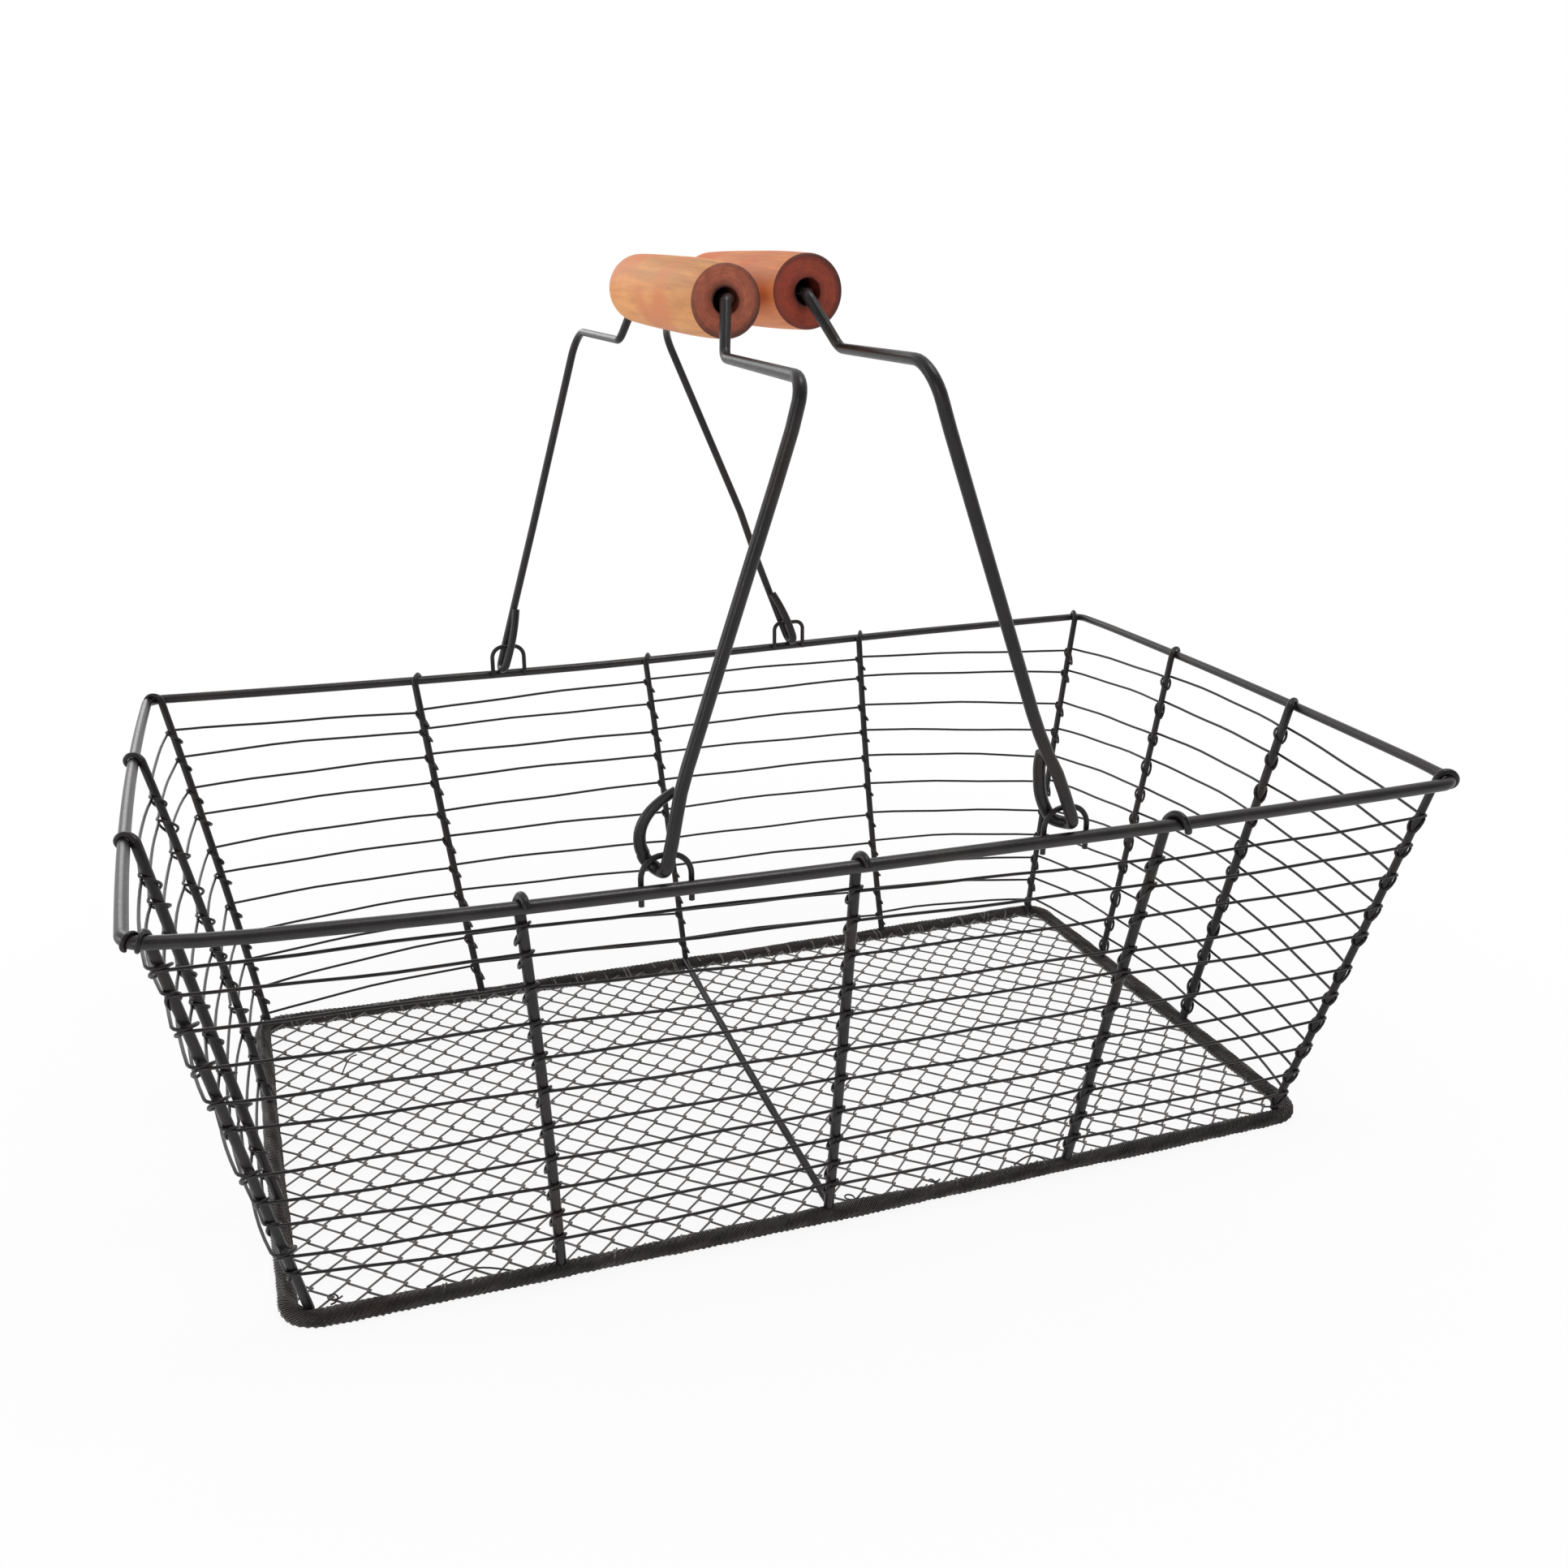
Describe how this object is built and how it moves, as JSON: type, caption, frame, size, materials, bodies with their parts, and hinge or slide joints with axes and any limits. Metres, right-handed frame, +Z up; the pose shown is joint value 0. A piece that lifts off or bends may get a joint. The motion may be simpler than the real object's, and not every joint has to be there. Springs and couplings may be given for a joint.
{
  "type": "wire harvest basket",
  "caption": "Low tapered rectangular basket of coated steel wire with a netted floor and swinging wire bails that carry turned wooden grips.",
  "frame": {"origin": "on the standing plane, under the middle of the basket", "axes": "+X along the long side to the right, +Y to the back, +Z up"},
  "size_m": [0.4232, 0.2544, 0.3007],
  "materials": {
    "coated_wire": "dark brownish grey coating with a soft sheen, a little worn on the bends",
    "net_wire": "the same coating on fine wire, duller and a little rusty at the twists",
    "grip_wood": "smooth turned wood, light orange tan with fine grain, its end grain stained reddish brown"
  },
  "bodies": {
    "basket": {"rim_wire": "coated_wire", "base_wire": "coated_wire", "corner_rib_front_left": "coated_wire", "corner_rib_front_right": "coated_wire", "corner_rib_back_left": "coated_wire", "corner_rib_back_right": "coated_wire", "rib_front_left": "coated_wire", "rib_front_middle": "coated_wire", "rib_front_right": "coated_wire", "rib_back_left": "coated_wire", "rib_back_middle": "coated_wire", "rib_back_right": "coated_wire", "rib_left_front": "coated_wire", "rib_left_back": "coated_wire", "rib_right_front": "coated_wire", "rib_right_back": "coated_wire", "hoop_01": "coated_wire", "hoop_02": "coated_wire", "hoop_03": "coated_wire", "hoop_04": "coated_wire", "hoop_05": "coated_wire", "hoop_06": "coated_wire", "hoop_07": "coated_wire", "hoop_08": "coated_wire", "hoop_09": "coated_wire", "hoop_10": "coated_wire", "hoop_11": "coated_wire", "floor_net": "net_wire", "floor_cross_wire": "coated_wire", "staple_front_left": "coated_wire", "staple_front_right": "coated_wire", "staple_back_left": "coated_wire", "staple_back_right": "coated_wire"},
    "bail_left": {"bail_left": "coated_wire"},
    "bail_right": {"bail_right": "coated_wire"},
    "grip_left": {"grip_left": "grip_wood"},
    "grip_right": {"grip_right": "grip_wood"}
  },
  "joints": [
    {"name": "left_bail_swing", "type": "hinge", "parent": "basket", "child": "bail_left", "pos_m": [-0.068, 0, 0.13833], "axis": [0, -1, 0], "range_deg": [0, 101]},
    {"name": "right_bail_swing", "type": "hinge", "parent": "basket", "child": "bail_right", "pos_m": [0.0595, 0, 0.13826], "axis": [0, 1, 0], "range_deg": [0, 105]},
    {"name": "left_grip_turn", "type": "hinge", "parent": "bail_left", "child": "grip_left", "pos_m": [-0.02293, 0, 0.28716], "axis": [0, 1, 0], "continuous": true},
    {"name": "right_grip_turn", "type": "hinge", "parent": "bail_right", "child": "grip_right", "pos_m": [0.00194, 0, 0.2884], "axis": [0, 1, 0], "continuous": true}
  ]
}
